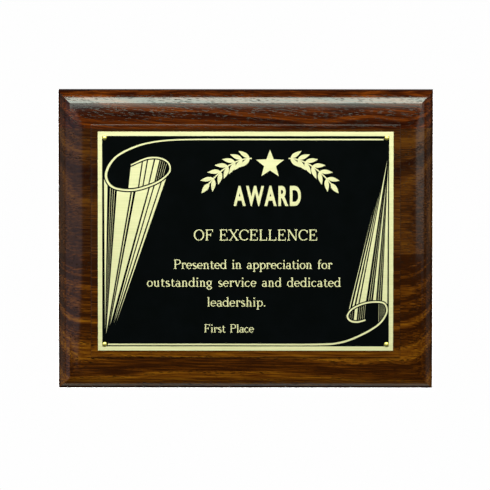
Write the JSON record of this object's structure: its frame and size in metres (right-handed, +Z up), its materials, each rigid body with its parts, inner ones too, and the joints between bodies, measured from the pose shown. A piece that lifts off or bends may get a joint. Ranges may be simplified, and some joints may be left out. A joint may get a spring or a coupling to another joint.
{
  "type": "wall plaque",
  "caption": "Wooden award plaque with a moulded edge and a pinned black enamelled brass plate; it hangs on a wall screw.",
  "frame": {"origin": "centre of the back face, which lies on the wall", "axes": "+X to the right seen from the front, +Z up, front faces -Y, so +Y points into the wall"},
  "size_m": [0.254, 0.0206, 0.2032],
  "materials": {
    "walnut": "satin lacquer",
    "plate_brass": "polished",
    "black_enamel": "satin gloss",
    "pin_brass": "polished",
    "hanger_steel": "zinc plated",
    "screw_steel": "yellow zinc plated"
  },
  "bodies": {
    "root": {"walnut_board_top": "walnut", "walnut_board_middle": "walnut", "walnut_board_bottom": "walnut", "engraving_plate": "plate_brass", "enamel_coat": "black_enamel", "plate_pin_top_left": "pin_brass", "plate_pin_top_right": "pin_brass", "plate_pin_bottom_left": "pin_brass", "plate_pin_bottom_right": "pin_brass", "keyhole_hanger_top": "hanger_steel", "keyhole_hanger_side": "hanger_steel", "hanger_screw_top_left": "screw_steel", "hanger_screw_top_right": "screw_steel", "hanger_screw_side_lower": "screw_steel", "hanger_screw_side_upper": "screw_steel"}
  },
  "joints": []
}
